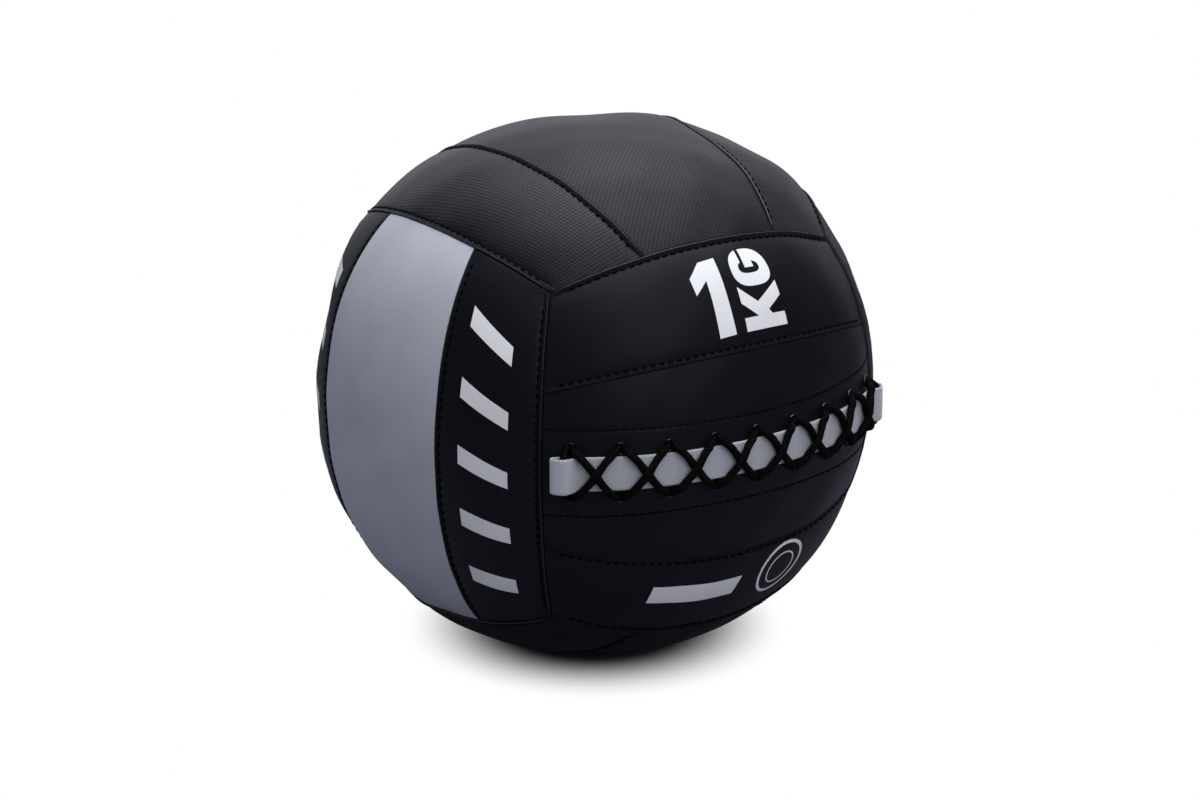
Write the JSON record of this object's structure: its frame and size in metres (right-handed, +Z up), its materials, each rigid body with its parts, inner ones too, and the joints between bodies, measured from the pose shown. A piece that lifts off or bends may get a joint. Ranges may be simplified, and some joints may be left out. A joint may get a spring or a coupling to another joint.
{
  "type": "wall ball",
  "caption": "Padded exercise ball for throwing at a wall, with a cover of sewn strips, laced shut across its front over a cloth tongue.",
  "frame": {"origin": "on the floor, at the middle of the patch that the ball rests on, straight under the ball's centre", "axes": "+Z up; -Y the way the laced face looks; X along the lacing slit, +X to the right of someone who faces the lacing"},
  "size_m": [0.343, 0.3535, 0.3366],
  "materials": {
    "cover_black": "matte synthetic leather with a fine pressed grain",
    "cover_grey": "satin synthetic leather with a fine pressed grain",
    "facing_black": "woven backing",
    "tongue_grey": "fine woven webbing",
    "cord_black": "braided cord",
    "eyelet_gunmetal": "dark gloss over brass-like metal, worn bright on the rim",
    "pad_foam": "soft open foam",
    "bag_cloth": "plain cotton",
    "fill_fibre": "shredded fibre",
    "ballast_sand": "fine grains"
  },
  "bodies": {
    "root": {"front_panel_lower": "cover_black", "front_flap_lower": "cover_black", "front_flap_upper": "cover_black", "front_panel_upper": "cover_black", "rear_panel_lower": "cover_black", "rear_panel_middle": "cover_black", "rear_panel_upper": "cover_black", "left_panel_front": "cover_black", "left_panel_middle": "cover_grey", "left_panel_rear": "cover_black", "right_panel_front": "cover_black", "right_panel_middle": "cover_grey", "right_panel_rear": "cover_black", "top_panel_left": "cover_black", "top_panel_middle": "cover_black", "top_panel_right": "cover_black", "bottom_panel_left": "cover_black", "bottom_panel_middle": "cover_black", "bottom_panel_right": "cover_black", "flap_facing_upper": "facing_black", "flap_facing_lower": "facing_black", "eyelet_upper_1": "eyelet_gunmetal", "eyelet_upper_2": "eyelet_gunmetal", "eyelet_upper_3": "eyelet_gunmetal", "eyelet_upper_4": "eyelet_gunmetal", "eyelet_upper_5": "eyelet_gunmetal", "eyelet_upper_6": "eyelet_gunmetal", "eyelet_upper_7": "eyelet_gunmetal", "eyelet_upper_8": "eyelet_gunmetal", "eyelet_upper_9": "eyelet_gunmetal", "eyelet_lower_1": "eyelet_gunmetal", "eyelet_lower_2": "eyelet_gunmetal", "eyelet_lower_3": "eyelet_gunmetal", "eyelet_lower_4": "eyelet_gunmetal", "eyelet_lower_5": "eyelet_gunmetal", "eyelet_lower_6": "eyelet_gunmetal", "eyelet_lower_7": "eyelet_gunmetal", "eyelet_lower_8": "eyelet_gunmetal", "eyelet_lower_9": "eyelet_gunmetal", "tongue": "tongue_grey", "lace": "cord_black", "lace_knot": "cord_black", "rear_pad": "pad_foam", "left_pad": "pad_foam", "right_pad": "pad_foam", "top_pad": "pad_foam", "bottom_pad": "pad_foam", "front_pad_upper": "pad_foam", "front_pad_lower": "pad_foam", "inner_bag": "bag_cloth", "fibre_fill": "fill_fibre", "ballast_pouch": "bag_cloth", "ballast": "ballast_sand", "ballast_tie": "cord_black"}
  },
  "joints": []
}
